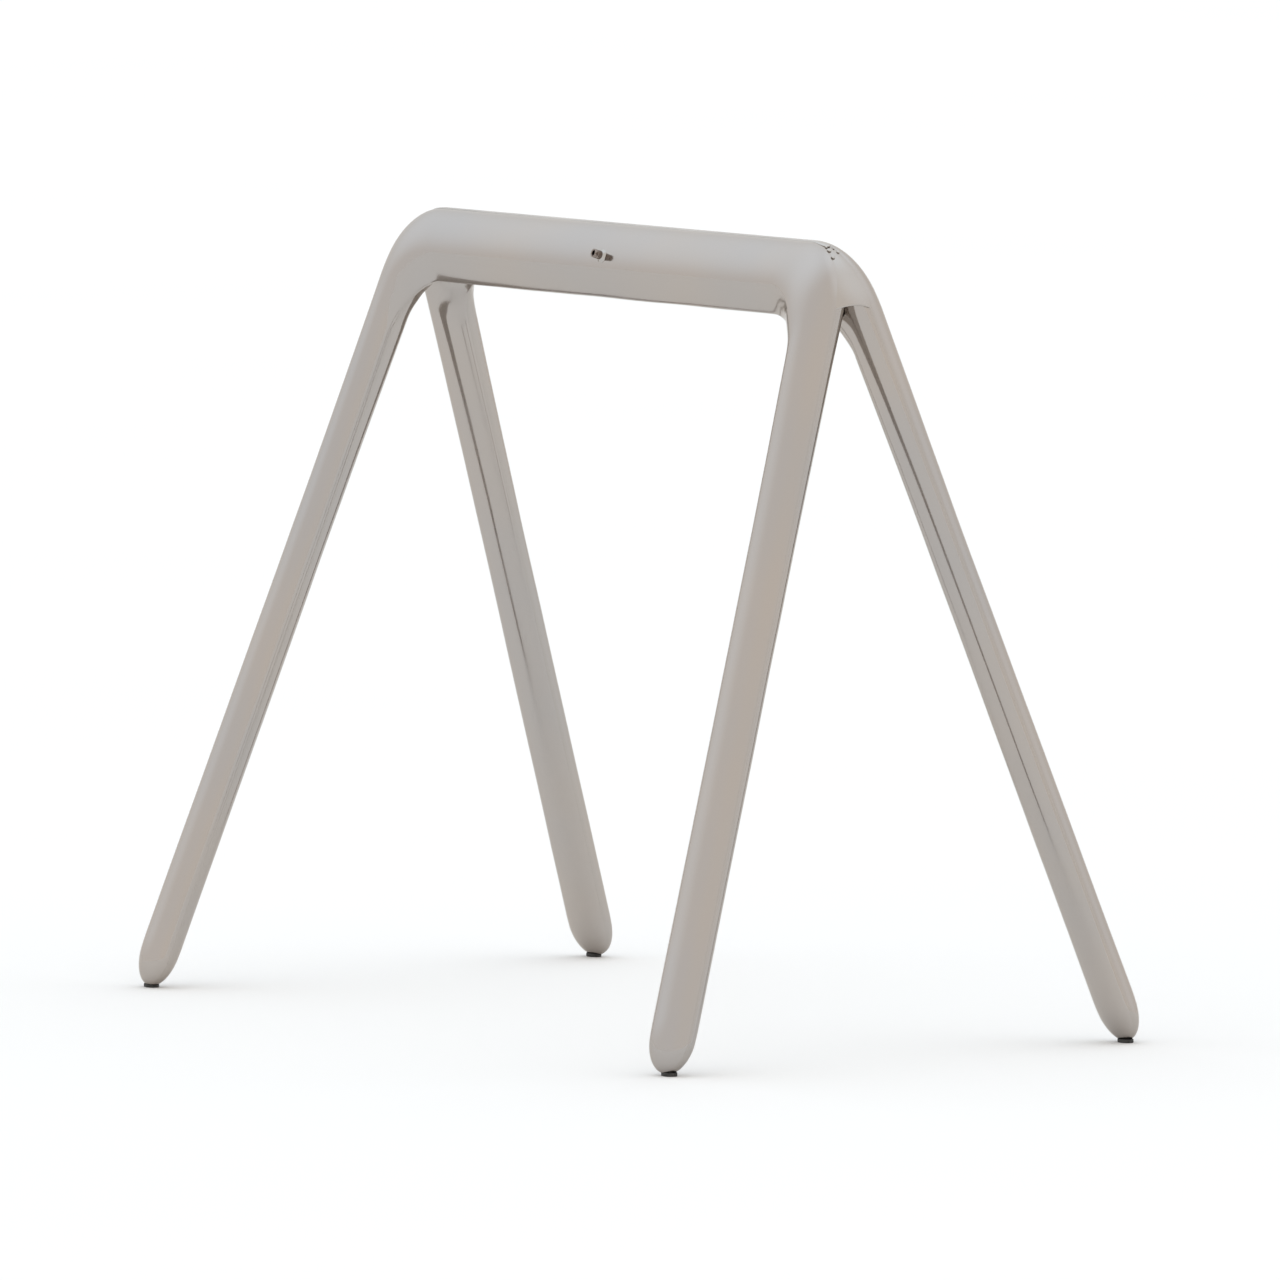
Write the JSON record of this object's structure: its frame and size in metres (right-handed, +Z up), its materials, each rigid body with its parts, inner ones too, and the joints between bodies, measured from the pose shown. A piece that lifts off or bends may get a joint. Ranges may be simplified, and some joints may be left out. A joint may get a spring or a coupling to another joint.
{
  "type": "sawhorse",
  "caption": "Rigid four-legged sawhorse: two inflated, mirror-polished steel U frames leaning together and welded along the ridge, closed by a web at each end, with valve nipples and floor glides.",
  "frame": {"origin": "middle of the footprint at floor level, under the middle of the ridge", "axes": "+X along the beam, +Y from the front frame to the rear frame, +Z up"},
  "size_m": [0.9398, 0.5058, 0.72],
  "materials": {
    "polished_steel": "mirror-polished stainless sheet with a soft, slightly wavy reflection",
    "weld_bead": "weld ground nearly flush and polished",
    "valve_steel": "turned steel, light machining marks",
    "plug_steel": "blackened grub screw deep in the bore",
    "dark_rubber": "matt black rubber pad"
  },
  "bodies": {
    "root": {"front_outer_sheet": "polished_steel", "front_inner_sheet": "polished_steel", "rear_outer_sheet": "polished_steel", "rear_inner_sheet": "polished_steel", "front_edge_weld": "weld_bead", "rear_edge_weld": "weld_bead", "ridge_weld": "weld_bead", "left_end_web": "polished_steel", "right_end_web": "polished_steel", "underside_weld": "weld_bead", "front_valve_nipple": "valve_steel", "rear_valve_nipple": "valve_steel", "front_valve_weld": "weld_bead", "rear_valve_weld": "weld_bead", "front_valve_plug": "plug_steel", "rear_valve_plug": "plug_steel", "front_left_glide": "dark_rubber", "front_right_glide": "dark_rubber", "rear_left_glide": "dark_rubber", "rear_right_glide": "dark_rubber"}
  },
  "joints": []
}
